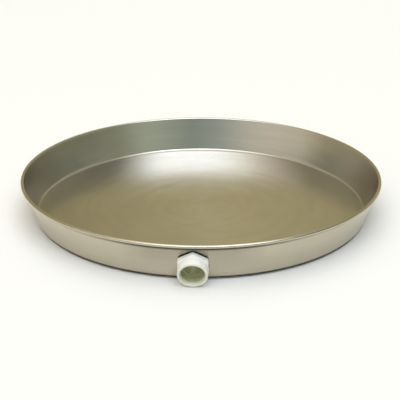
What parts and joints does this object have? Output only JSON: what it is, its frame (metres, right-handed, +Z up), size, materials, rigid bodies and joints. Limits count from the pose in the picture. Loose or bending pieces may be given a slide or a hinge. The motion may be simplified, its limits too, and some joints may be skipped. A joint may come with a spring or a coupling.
{
  "type": "drain pan",
  "caption": "Round shallow aluminium drain pan with a flat floor, flared wall and rolled rim, and a white plastic side drain outlet.",
  "frame": {"origin": "centre of the pan's flat underside, where it rests on the floor", "axes": "+Z up out of the pan, -Y the side that the drain outlet faces, +X to the right as the outlet is faced from outside"},
  "size_m": [0.6096, 0.624, 0.0635],
  "materials": {
    "spun_aluminium": "bare spun aluminium sheet, satin with faint circular lines",
    "white_pvc": "moulded white PVC, semi-gloss",
    "black_rubber": "matte black rubber"
  },
  "bodies": {
    "root": {"pan": "spun_aluminium", "drain_fitting": "white_pvc", "outer_gasket": "black_rubber", "inner_washer": "black_rubber", "locknut": "white_pvc"}
  },
  "joints": []
}
